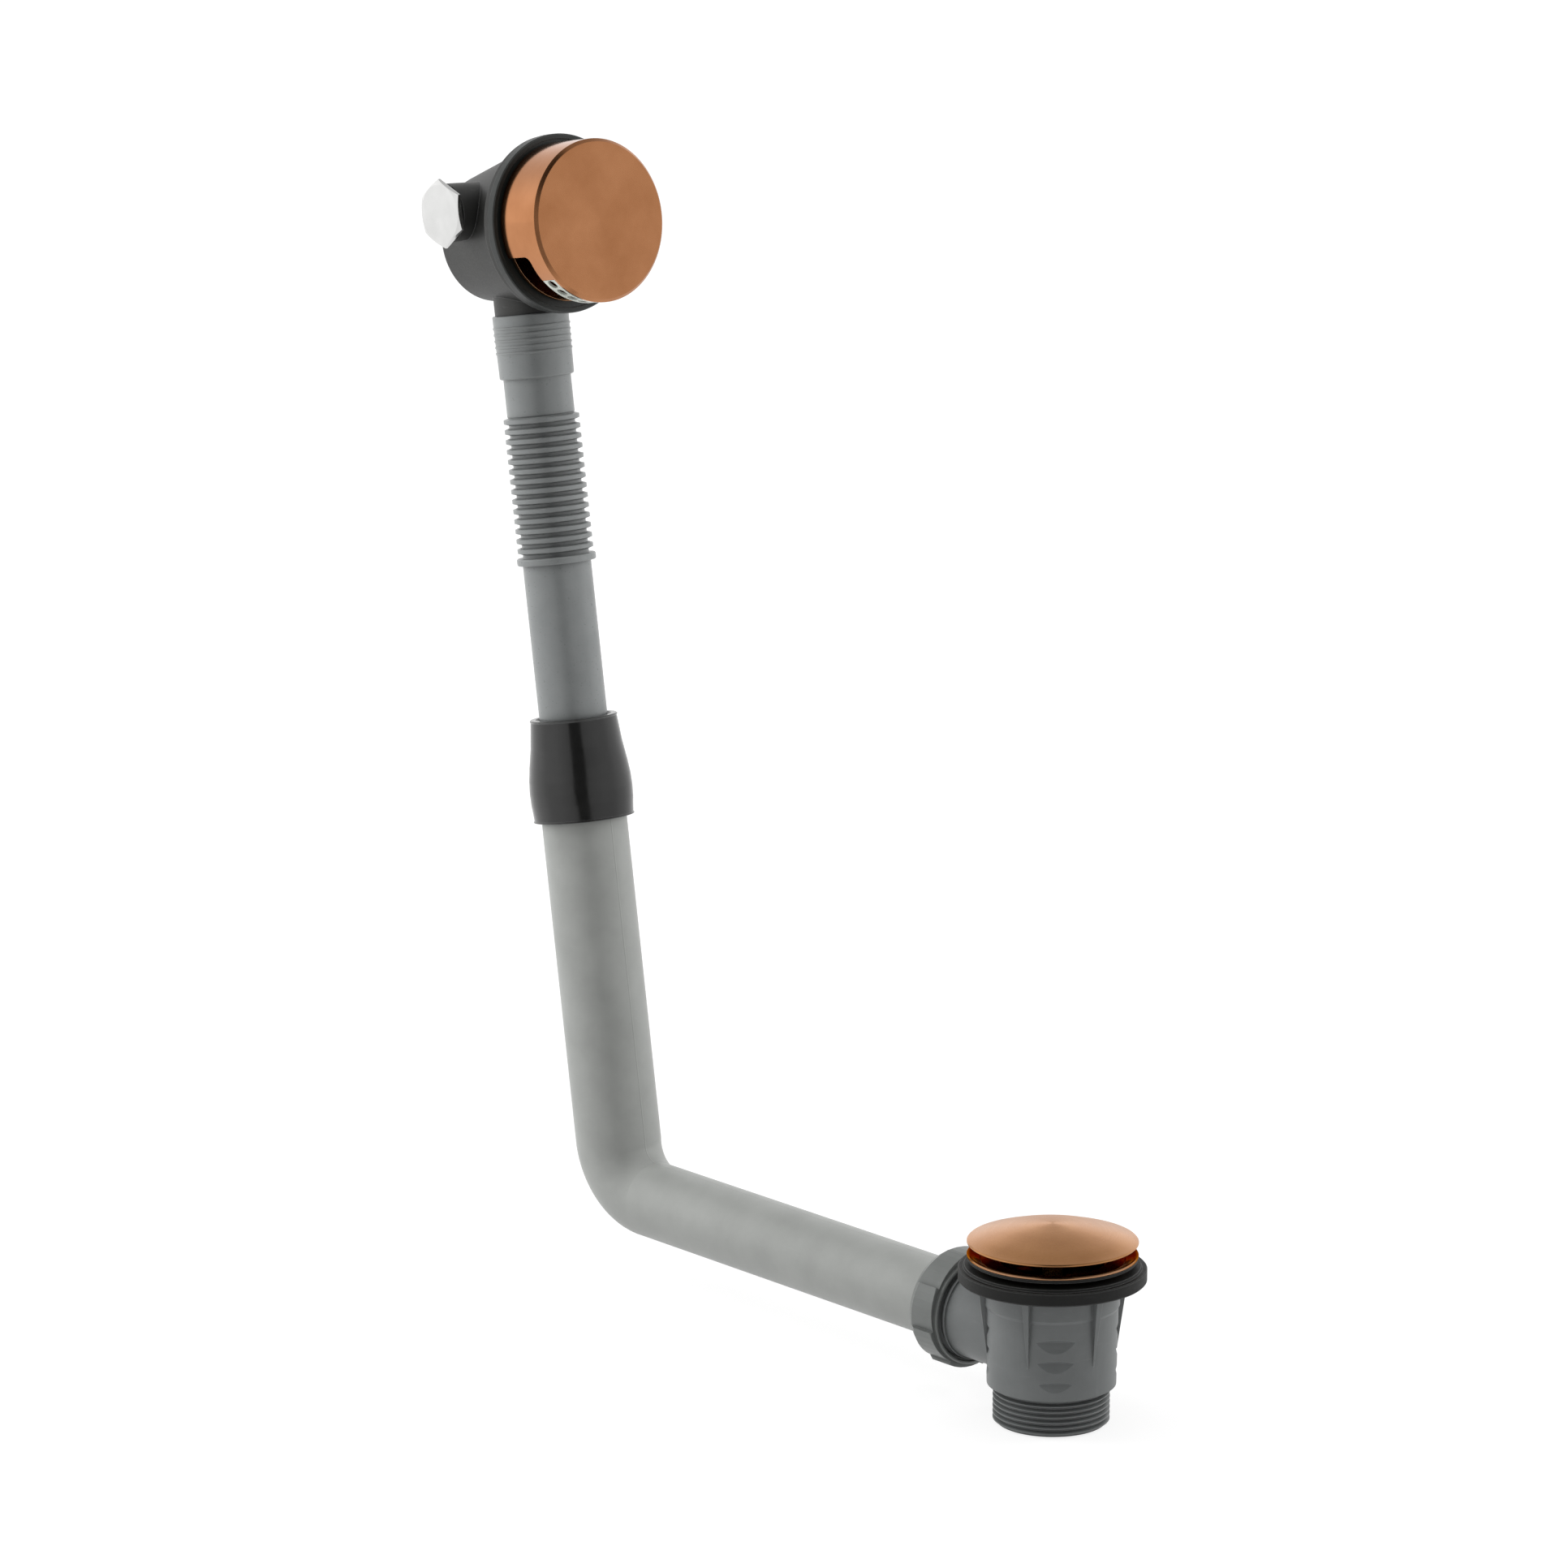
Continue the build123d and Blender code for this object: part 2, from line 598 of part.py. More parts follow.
def plug_seal():
    low = PLUG_Z - SEAL_T
    inner_r = PLUG_SKIRT_R + SEAT_PLAY / 2
    return turned([
        (inner_r, low), (SEAL_R - EDGE, low), (SEAL_R, low + EDGE), (SEAL_R, PLUG_Z - EDGE),
        (SEAL_R - EDGE, PLUG_Z), (inner_r, PLUG_Z),
    ])


def slide_sleeve():
    foot = SLEEVE_FOOT_S
    mouth = foot + SLEEVE_LENGTH
    grip_r = UPRIGHT_R + SEAT_PLAY / 2
    lip_r = SLIDE_R + SOFT_PLAY
    outside = [(grip_r, foot), (SLEEVE_FOOT_R + SLEEVE_FOOT_LIP, foot)]
    outside += [(SLEEVE_FOOT_R, foot + 2 * SLEEVE_FOOT_LIP)]
    outside += [(radius, foot + share * SLEEVE_LENGTH) for radius, share in SLEEVE_BELLY]
    outside += [(SLEEVE_NECK_R, mouth - SLEEVE_LIP_W), (SLEEVE_LIP_R, mouth - SLEEVE_LIP_W + EDGE)]
    outside += [(SLEEVE_LIP_R, mouth - EDGE), (SLEEVE_LIP_R - EDGE, mouth), (lip_r + SLEEVE_GROOVE, mouth)]
    inside = []
    groove_r = lip_r + SLEEVE_GROOVE
    spacing = (mouth - UPRIGHT_TOP) / (SLEEVE_LIPS + 1)
    for i in range(SLEEVE_LIPS):
        lip = mouth - spacing * (i + 0.6)
        inside += [(lip_r, lip), (groove_r, lip - spacing / 4), (groove_r, lip - spacing * 0.7)]
    inside += [(lip_r, UPRIGHT_TOP + spacing / 4), (lip_r, UPRIGHT_TOP), (grip_r, UPRIGHT_TOP)]
    return UPRIGHT * turned(outside + inside)


def ridges(wall, crest_w):
    """Corrugations seen from outside with no wall, or from the bore behind a wall."""
    half = RIDGE_PITCH * crest_w / 2
    foot = half + RIDGE_PITCH * RIDGE_FLANK
    valley_r = VALLEY_R - wall
    crest_r = RIDGE_R - wall
    points = []
    for i in range(RIDGE_COUNT):
        mid = RIDGE_FIRST + i * RIDGE_PITCH
        points += [(valley_r, mid - foot), (crest_r, mid - half)]
        points += [(crest_r, mid + half), (valley_r, mid + foot)]
    return points


def socket_rings():
    """Fine rings moulded on the socket, which widens a little towards its mouth."""
    points = []
    for i in range(SOCKET_RINGS):
        low = SOCKET_RING_S + i * SOCKET_RING_PITCH
        share = (low - SOCKET_S) / (SOCKET_TOP - SOCKET_S)
        radius = SOCKET_R + (SOCKET_TOP_R - SOCKET_R) * share
        crest = radius + SOCKET_RING_H
        high = low + SOCKET_RING_W
        points += [(radius, low), (crest, low + SOCKET_RING_H), (crest, high), (radius, high)]
    return points


def flexible_tube():
    stop_top = STOP_S + STOP_W
    bore_r = SLIDE_R - SLIDE_WALL
    neck_low = RIDGE_FIRST + (RIDGE_COUNT - 0.5) * RIDGE_PITCH
    outside = [(bore_r, SLIDE_END), (SLIDE_R - EDGE, SLIDE_END), (SLIDE_R, SLIDE_END + EDGE)]
    outside += [(SLIDE_R, STOP_S), (STOP_R - EDGE, STOP_S), (STOP_R, STOP_S + EDGE)]
    outside += [(STOP_R, stop_top - EDGE), (STOP_R - EDGE, stop_top), (VALLEY_R, stop_top)]
    outside += ridges(0, RIDGE_CREST)
    outside += [(NECK_TUBE_R, neck_low), (NECK_TUBE_R, SOCKET_S - EDGE), (SOCKET_R - EDGE, SOCKET_S)]
    outside += [(SOCKET_R, SOCKET_S + EDGE)] + socket_rings() + [(SOCKET_TOP_R, SOCKET_TOP - EDGE)]
    outside += [(SOCKET_TOP_R - EDGE, SOCKET_TOP)]
    neck_bore_r = NECK_TUBE_R - SLIDE_WALL
    socket_floor = SOCKET_S + SOCKET_FOOT
    inside = [(SOCKET_BORE_R, SOCKET_TOP), (SOCKET_BORE_R, socket_floor), (neck_bore_r, socket_floor)]
    inside += [(neck_bore_r, neck_low)] + ridges(FLEX_WALL, RIDGE_CREST - RIDGE_NARROWING)[::-1]
    inside += [(VALLEY_R - FLEX_WALL, stop_top), (bore_r, STOP_S)]
    return UPRIGHT * turned(outside + inside)


def overflow_cap():
    shape = turned([
        (0, 0), (CAP_R - CAP_BEVEL, 0), (CAP_R, -CAP_BEVEL), (CAP_R, -CAP_DEPTH),
        (CAP_R - CAP_WALL, -CAP_DEPTH), (CAP_R - CAP_WALL, -CAP_FACE_T), (0, -CAP_FACE_T),
    ])
    shape += ring(collar_r() + COLLAR_T, collar_r(), -COLLAR_DEPTH, -CAP_FACE_T)
    keep = rod(CAP_R - CAP_WALL - PASS, -CAP_DEPTH - PASS, 0)
    mouth = sector(CAP_R, CUT_HALF_ANGLE, CUT_DEPTH, CAP_DEPTH + PASS)
    front_edges = mouth.edges().group_by(Axis.Z)[-1]
    mouth = fillet(front_edges.sort_by_distance((0, 0, -CUT_DEPTH))[:2], CUT_CORNER_R)
    slot = sector(CAP_R, STRIP_HALF_ANGLE, STRIP_FRONT, CUT_DEPTH + PASS)
    return HEAD * (shape - (mouth - keep) - (slot - keep))


def collar_r():
    return INSERT_HUB_R + SOFT_PLAY


def cap_ring():
    depth = (INSERT_HUB_FRONT + COLLAR_DEPTH) / 2
    groove_r = INSERT_HUB_R - CAP_RING_T + SEAT_PLAY
    half = CAP_RING_T / 2
    return HEAD * turned([
        (groove_r, -depth - half), (collar_r() - SOFT_PLAY, -depth - half),
        (collar_r(), -depth - half + EDGE), (collar_r(), -depth + half - EDGE),
        (collar_r() - SOFT_PLAY, -depth + half), (groove_r, -depth + half),
    ])


def flow_strip():
    outer_r = CAP_R - SEAT_PLAY
    body = ring(outer_r, outer_r - STRIP_T, -CUT_DEPTH + SEAT_PLAY, -STRIP_FRONT - SEAT_PLAY / 2)
    body &= sector(CAP_R, STRIP_HALF_ANGLE - STRIP_END_PLAY, STRIP_FRONT, CUT_DEPTH)
    hole = Plane.XZ * extrude(SlotOverall(STRIP_HOLE_L, STRIP_HOLE_W), CAP_R + PASS)
    hole = Pos(0, 0, -(STRIP_FRONT + CUT_DEPTH) / 2) * hole
    spacing = 2 * STRIP_HALF_ANGLE / STRIP_HOLES
    for i in range(STRIP_HOLES):
        body -= Rot(0, 0, spacing * (i + 0.5 - STRIP_HOLES / 2)) * hole
    return HEAD * body


def overflow_insert():
    back = INSERT_FRONT + INSERT_T
    start = SHELL_DEPTH + INSERT_TURNS * PITCH_11
    root_r = INSERT_CREST_R - THREAD_DEPTH * PITCH_11
    male = [(r, z - start) for r, z in thread(INSERT_CREST_R, 0, INSERT_TURNS, PITCH_11)]
    groove = (INSERT_HUB_FRONT + COLLAR_DEPTH) / 2
    half = CAP_RING_T / 2 + SEAT_PLAY / 2
    groove_r = INSERT_HUB_R - CAP_RING_T
    shape = turned(
        [(INSERT_BORE_R, -start)] + male
        + [(root_r, -back), (INSERT_R, -back), (INSERT_R, -INSERT_FRONT), (INSERT_HUB_R, -INSERT_FRONT)]
        + [(INSERT_HUB_R, -groove - half), (groove_r, -groove - half), (groove_r, -groove + half)]
        + [(INSERT_HUB_R, -groove + half), (INSERT_HUB_R, -INSERT_HUB_FRONT - EDGE)]
        + [(INSERT_HUB_R - EDGE, -INSERT_HUB_FRONT), (INSERT_BORE_R, -INSERT_HUB_FRONT)]
    )
    depth = (COLLAR_DEPTH + INSERT_FRONT) / 2
    window = Pos(INSERT_HUB_R, 0, -depth) * Box(INSERT_HUB_R, WINDOW_W, WINDOW_L)
    for i in range(WINDOW_COUNT):
        shape -= Rot(0, 0, i * 360 / WINDOW_COUNT - 90) * window
    return HEAD * shape


def overflow_gasket():
    front = WALL_GASKET_FRONT
    back = PLATE_DEPTH
    face = front + WALL_GASKET_RECESS
    rim_in = WALL_GASKET_R - WALL_GASKET_RIM_W
    hole_r = INSERT_CREST_R + 2 * SOFT_PLAY
    return HEAD * turned([
        (hole_r, -back), (WALL_GASKET_R - EDGE, -back), (WALL_GASKET_R, -back + EDGE),
        (WALL_GASKET_R, -front - EDGE), (WALL_GASKET_R - EDGE, -front), (rim_in, -front),
        (rim_in, -face), (hole_r, -face),
    ])


def chamber(inset):
    """The slanting cone behind the plate with a rounded back, or its inside where inset is the wall."""
    wide = Pos(0, 0, -SHELL_DEPTH) * Circle(CHAMBER_R - inset)
    narrow = Pos(0, -BACK_DROP, inset - BACK_DEPTH) * Circle(BACK_R - inset)
    shape = loft([narrow, wide])
    return fillet(shape.edges().group_by(Axis.Z)[0], max(BACK_ROUND - inset, EDGE))


def inlet(side):
    """A plane at an inlet's axis whose Z points out of it; side is -1 or 1."""
    return Plane(origin=(0, INLET_RISE, -SPIGOT_DEPTH), x_dir=(0, 1, 0), z_dir=(side, 0, 0))


def spigot_plane():
    return Plane(origin=(0, SOCKET_TOP_Y, -SPIGOT_DEPTH), x_dir=(1, 0, 0), z_dir=(0, -1, 0))


def overflow_body():
    thread_back = SHELL_DEPTH + INSERT_TURNS * PITCH_11
    bore_r = INSERT_CREST_R + THREAD_PLAY
    boss_r = bore_r + SHELL_WALL
    shell = chamber(0)
    shell += spigot_plane() * rod(SPIGOT_SHOULDER_R, -BACK_R, 0)
    shell += [inlet(side) * inlet_outside() for side in (-1, 1)]
    shell += ring(PLATE_R, bore_r, -SHELL_DEPTH, -PLATE_DEPTH)
    shell += spigot_plane() * rod(SPIGOT_R, 0, SPIGOT_LENGTH)
    shell -= chamber(SHELL_WALL)
    shell += ring(boss_r, bore_r - PASS, -thread_back, -PLATE_DEPTH)
    female = thread(INSERT_CREST_R, -thread_back, INSERT_TURNS, PITCH_11, THREAD_PLAY)
    shell -= turned(
        [(0, -thread_back - PASS), (female[0][0], -thread_back - PASS)] + female
        + [(bore_r, -SHELL_DEPTH), (bore_r, 0), (0, 0)]
    )
    shell -= spigot_plane() * rod(SPIGOT_BORE_R, -BACK_R, SPIGOT_LENGTH + PASS)
    shell -= spigot_plane() * spigot_groove()
    for side in (-1, 1):
        shell -= inlet(side) * inlet_bore()
    return HEAD * shell


def inlet_outside():
    root_end = BACK_R - BACK_DROP
    return turned([
        (0, 0), (INLET_ROOT_R, 0), (INLET_ROOT_R, root_end), (INLET_MOUTH_R, INLET_REACH), (0, INLET_REACH),
    ])


def inlet_bore():
    female = thread(INLET_CREST_R, INLET_REACH - INLET_TURNS * PITCH_14, INLET_TURNS, PITCH_14, THREAD_PLAY)
    root_r = female[0][0]
    start = INLET_ROOT_R
    end = INLET_REACH + PASS
    return turned([(0, start), (root_r, start)] + female + [(female[-1][0], end), (0, end)])


def spigot_groove():
    mid = SPIGOT_LENGTH / 2
    return ring(SPIGOT_R + PASS, SPIGOT_R - SPIGOT_RING_T / 2, mid - SPIGOT_RING_T, mid + SPIGOT_RING_T)


def spigot_ring():
    mid = SPIGOT_LENGTH / 2
    low = mid - SPIGOT_RING_T + SEAT_PLAY
    high = mid + SPIGOT_RING_T - SEAT_PLAY
    inner_r = SPIGOT_R - SPIGOT_RING_T / 2 + SEAT_PLAY / 2
    outer_r = SOCKET_BORE_R - SEAT_PLAY / 2
    shape = turned([
        (inner_r, low), (outer_r - EDGE, low), (outer_r, low + EDGE), (outer_r, high - EDGE),
        (outer_r - EDGE, high), (inner_r, high),
    ])
    return HEAD * (spigot_plane() * shape)


def inlet_shank(across_flats, hex_h):
    """The thread that screws into an inlet, with a hexagon head on the washer."""
    start = INLET_REACH - INLET_TURNS * PITCH_14
    male = thread(INLET_CREST_R, start, INLET_TURNS, PITCH_14)
    seat = INLET_REACH + INLET_WASHER_T
    shape = turned([(0, start)] + male + [(male[-1][0], seat + EDGE), (0, seat + EDGE)])
    return shape + Pos(0, 0, seat) * hexagon(across_flats, hex_h, HEX_BEVEL)


def inlet_plug():
    return HEAD * (inlet(-1) * inlet_shank(PLUG_HEX_AF, PLUG_HEX_H))


def inlet_connector():
    shoulder = INLET_REACH + INLET_WASHER_T + CONNECTOR_HEX_H
    outer = thread(HOSE_CREST_R, shoulder, CONNECTOR_TURNS, PITCH_14)
    root_r = outer[0][0]
    tip = outer[-1][1] + EDGE
    shape = inlet_shank(CONNECTOR_HEX_AF, CONNECTOR_HEX_H)
    shape += turned([(0, shoulder - PASS), (root_r, shoulder - PASS)] + outer + [(root_r, tip), (0, tip)])
    shape -= rod(CONNECTOR_BORE_R, 0, tip + PASS)
    return HEAD * (inlet(1) * shape)


def inlet_washer(side):
    inner_r = INLET_CREST_R - THREAD_DEPTH * PITCH_14 + SEAT_PLAY
    washer = ring(INLET_WASHER_R, inner_r, INLET_REACH, INLET_REACH + INLET_WASHER_T)
    return HEAD * (inlet(side) * washer)


def inlet_plug_washer():
    return inlet_washer(-1)


def inlet_connector_washer():
    return inlet_washer(1)


PARTS = [
    waste_body, waste_gasket, waste_flange, flange_washer, clicker_housing, clicker_spring, clicker_stem,
    latch_pin, plug_cover, plug_seal, union_nut, slip_ring, cone_washer, elbow_pipe, slide_sleeve,
    flexible_tube, spigot_ring, overflow_body, overflow_gasket, overflow_insert, cap_ring, overflow_cap,
    flow_strip, inlet_plug, inlet_plug_washer, inlet_connector, inlet_connector_washer,
]

os.makedirs("parts", exist_ok=True)
for make in PARTS:
    export_step(make(), f"parts/{make.__name__}.step")
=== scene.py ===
import math

import bpy
from mathutils import Matrix, Vector


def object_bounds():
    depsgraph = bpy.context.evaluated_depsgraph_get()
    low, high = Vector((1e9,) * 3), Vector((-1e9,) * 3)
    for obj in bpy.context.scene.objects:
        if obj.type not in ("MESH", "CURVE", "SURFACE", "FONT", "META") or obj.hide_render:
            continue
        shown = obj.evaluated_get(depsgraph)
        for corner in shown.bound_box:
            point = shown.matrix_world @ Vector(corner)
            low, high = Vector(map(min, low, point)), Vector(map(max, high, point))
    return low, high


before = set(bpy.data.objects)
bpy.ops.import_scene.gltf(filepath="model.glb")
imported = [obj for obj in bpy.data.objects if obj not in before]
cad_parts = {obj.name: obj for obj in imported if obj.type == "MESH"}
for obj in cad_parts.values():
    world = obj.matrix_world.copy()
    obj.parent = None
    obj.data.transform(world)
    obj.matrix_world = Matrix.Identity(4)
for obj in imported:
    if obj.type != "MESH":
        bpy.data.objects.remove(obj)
cad_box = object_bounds()


# The studio: a long lens 2.5 m off, a little above the waste, over a white sweep. Two tall
# softboxes stand left and right of the object and a wide one hangs above, so that the pipes
# are bright along both sides and deeper down the middle.
camera = bpy.data.objects.new("camera", bpy.data.cameras.new("camera"))
camera.data.sensor_width = 36
camera.data.lens = 144.79
camera.data.clip_end = 50
bpy.context.scene.collection.objects.link(camera)
bpy.context.scene.camera = camera
bpy.context.scene.view_settings.view_transform = "Standard"

azimuth, pitch = math.radians(40.614), math.radians(12.982)
to_camera = Vector((
    math.cos(pitch) * math.cos(azimuth), -math.cos(pitch) * math.sin(azimuth), math.sin(pitch)
))
to_right = Vector((math.sin(azimuth), math.cos(azimuth), 0))
camera.matrix_world = Matrix.Translation((1.78689, -1.67570, 0.82995)) @ Matrix(
    (to_right, to_camera.cross(to_right), to_camera)
).transposed().to_4x4()


def linear(code):
    """An sRGB hex colour as the linear colour that a socket takes."""
    parts = [int(code[i:i + 2], 16) / 255 for i in (0, 2, 4)]
    return [v / 12.92 if v <= 0.04045 else ((v + 0.055) / 1.055) ** 2.4 for v in parts] + [1]


def add(tree, kind, inputs=(), **settings):
    """Adds a node and gives its outputs. The inputs are values for its sockets or sockets to
    link, listed in the sockets' order or keyed, and the settings are the node's own."""
    node = tree.nodes.new("ShaderNode" + kind)
    for name, value in settings.items():
        setattr(node, name, value)
    keyed = inputs if isinstance(inputs, dict) else dict(enumerate(inputs))
    for name, value in keyed.items():
        if isinstance(value, bpy.types.NodeSocket):
            tree.links.new(value, node.inputs[name])
        else:
            node.inputs[name].default_value = value
    return node.outputs


def softbox(name, centre, width, height, watts):
    """A soft rectangular lamp, its centre given in metres from the object's middle, turned to
    it. Mirrored light comes from the world's white walls instead, which never burn out."""
    middle = (cad_box[0] + cad_box[1]) / 2
    lamp = bpy.data.objects.new(name, bpy.data.lights.new(name, "AREA"))
    lamp.data.shape = "RECTANGLE"
    lamp.data.size, lamp.data.size_y = width, height
    lamp.data.energy = watts
    lamp.location = middle + centre
    lamp.rotation_euler = centre.to_track_quat("Z", "Y").to_euler()
    lamp.visible_glossy = False
    bpy.context.scene.collection.objects.link(lamp)


level_back = Vector((-to_camera.x, -to_camera.y, 0)).normalized()
up = Vector((0, 0, 1))
softbox("left_softbox", -1.45 * to_right + 0.25 * level_back + 0.55 * up, 0.8, 1.4, 17)
softbox("right_softbox", 1.45 * to_right + 0.35 * level_back + 0.35 * up, 0.8, 1.4, 14)
softbox("top_softbox", -0.2 * level_back + 1.5 * up, 1.6, 1.2, 8)


# The white walls are what shiny pieces mirror. They are brightest behind the object and to
# its left, dimmer overhead, and have a dark slit where the camera stands, which gives the
# black sleeve its dark stripe. The lamps do most of the lighting, and the walls only fill.
def room(tree, direction):
    """How bright the studio looks in this direction, with 1 for plain white."""
    slit_aside, slit_from, slit_to, slit_light = 0.03, 0.21, 0.31, 0.1
    front_light, back_light, left_light, right_light, ceiling_light = 0.7, 1.15, 1.15, 0.88, 0.42
    aside = add(tree, "VectorMath", [direction, to_right], operation="DOT_PRODUCT")["Value"]
    off = add(tree, "Math", [aside, slit_aside], operation="SUBTRACT")[0]
    off = add(tree, "Math", [off], operation="ABSOLUTE")[0]
    front = add(tree, "MapRange", [off, 0.3, 0.8, front_light, 1.0])[0]
    slit = add(tree, "MapRange", [off, slit_from, slit_to, slit_light, 1.0],
               interpolation_type="SMOOTHSTEP")[0]
    front = add(tree, "Math", [front, slit], operation="MULTIPLY")[0]
    behind = add(tree, "VectorMath", [direction, level_back], operation="DOT_PRODUCT")["Value"]
    behind = add(tree, "MapRange", [behind, -0.1, 0.1])[0]
    level = add(tree, "Mix", {0: behind, 2: front, 3: back_light})[0]
    side = add(tree, "MapRange", [aside, -0.9, 0.9, left_light, right_light])[0]
    level = add(tree, "Math", [level, side], operation="MULTIPLY")[0]
    height = add(tree, "SeparateXYZ", [direction])["Z"]
    ceiling = add(tree, "MapRange", [height, 0.25, 0.8, 1.0, ceiling_light],
                  interpolation_type="SMOOTHSTEP")[0]
    return add(tree, "Math", [level, ceiling], operation="MULTIPLY")[0]


world = bpy.data.worlds.new("white_sweep")
bpy.context.scene.world = world
world.use_nodes = True
tree = world.node_tree
tree.nodes.clear()
fill_light = 0.38
rays = add(tree, "LightPath")
walls = room(tree, add(tree, "TexCoord")["Generated"])
unseen = add(tree, "Mix", {0: rays["Is Glossy Ray"], 2: fill_light, 3: walls})[0]
strength = add(tree, "Mix", {0: rays["Is Camera Ray"], 2: unseen, 3: 1.0})[0]
sky = add(tree, "Background", {"Color": linear("ffffff"), "Strength": strength})
add(tree, "OutputWorld", {"Surface": sky[0]})


# The floor is the white sweep's sheet. It glows for the camera, so that it meets the white
# behind without a line, and keeps a faint shadow under the object. In a mirror it is white
# near the object and goes over to the walls further out.
def blank(name):
    """An empty material and its tree."""
    material = bpy.data.materials.new(name)
    material.use_nodes = True
    material.node_tree.nodes.clear()
    return material, material.node_tree


half, below = 9, 0.0004
floor_mesh = bpy.data.meshes.new("floor")
corners = [(-half, -half, 0), (half, -half, 0), (half, half, 0), (-half, half, 0)]
floor_mesh.from_pydata(corners, [], [(0, 1, 2, 3)])
floor = bpy.data.objects.new("floor", floor_mesh)
floor.location.z = -below
bpy.context.scene.collection.objects.link(floor)

sheet, tree = blank("white_sweep_sheet")
rays = add(tree, "LightPath")
place = add(tree, "NewGeometry")["Position"]
reach = add(tree, "VectorMath", [place], operation="LENGTH")["Value"]
fibres = add(tree, "TexNoise", {"Scale": 900, "Detail": 2})["Fac"]
shade = add(tree, "MapRange", [fibres, 0.0, 1.0, 0.8, 0.86])[0]
paper = add(tree, "BsdfDiffuse", [add(tree, "CombineColor", [shade, shade, shade])[0]])[0]

object_middle = (-0.14, 0, 0.25)
away = add(tree, "VectorMath", [place, object_middle], operation="SUBTRACT")[0]
away = add(tree, "VectorMath", [away], operation="NORMALIZE")[0]
far = add(tree, "MapRange", [reach, 0.2, 0.6])[0]
mirrored = add(tree, "Mix", {0: far, 2: 1.0, 3: room(tree, away)})[0]
mirrored = add(tree, "Math", [mirrored, 0.9], operation="MULTIPLY")[0]
mirrored = add(tree, "Emission", [linear("ffffff"), mirrored])[0]
unseen = add(tree, "MixShader", [rays["Is Glossy Ray"], paper, mirrored])[0]

shadowed = add(tree, "BsdfDiffuse", [linear("8e8e8e")])[0]
glow = add(tree, "MapRange", [reach, 0.5, 1.5, 0.82, 1.0])[0]
glow = add(tree, "Emission", [linear("ffffff"), glow])[0]
seen = add(tree, "AddShader", [shadowed, glow])[0]
sheet_surface = add(tree, "MixShader", [rays["Is Camera Ray"], unseen, seen])[0]
add(tree, "OutputMaterial", [sheet_surface])
floor_mesh.materials.append(sheet)


# The waste body is one moulding of filled grey polypropylene, with rows of notches, ribs, an
# outlet thread and a side branch. The slip ring in the nut is cut from the same stock. A
# polished tool leaves it satin, with a faint grain and slow clouds where the melt flowed.
def dress(material, *names):
    """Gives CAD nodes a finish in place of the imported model's plain colour."""
    for name in names:
        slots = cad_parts[name].data.materials
        slots.clear()
        slots.append(material)


def millimetres(tree, origin=(0, 0, 0), turn=0):
    """The part's coordinates in millimetres, from an origin in metres. Turn swings Z about Y,
    in degrees, to a piece's axis."""
    return add(tree, "Mapping", {
        "Vector": add(tree, "TexCoord")["Object"], "Location": origin,
        "Rotation": (0, math.radians(turn), 0), "Scale": (0.001, 0.001, 0.001),
    }, vector_type="TEXTURE")[0]


def rounded(tree, radius_mm):
    """The surface's normal, with edges rounded to this radius."""
    return add(tree, "Bevel", [radius_mm / 1000], samples=4)[0]


def edges(tree, normal):
    """How sharply the surface turns, from 0 on faces to 1 on edges."""
    true = add(tree, "NewGeometry")["Normal"]
    along = add(tree, "VectorMath", [normal, true], operation="DOT_PRODUCT")["Value"]
    return add(tree, "MapRange", [along, 0.995, 0.8, 0.0, 1.0])[0]


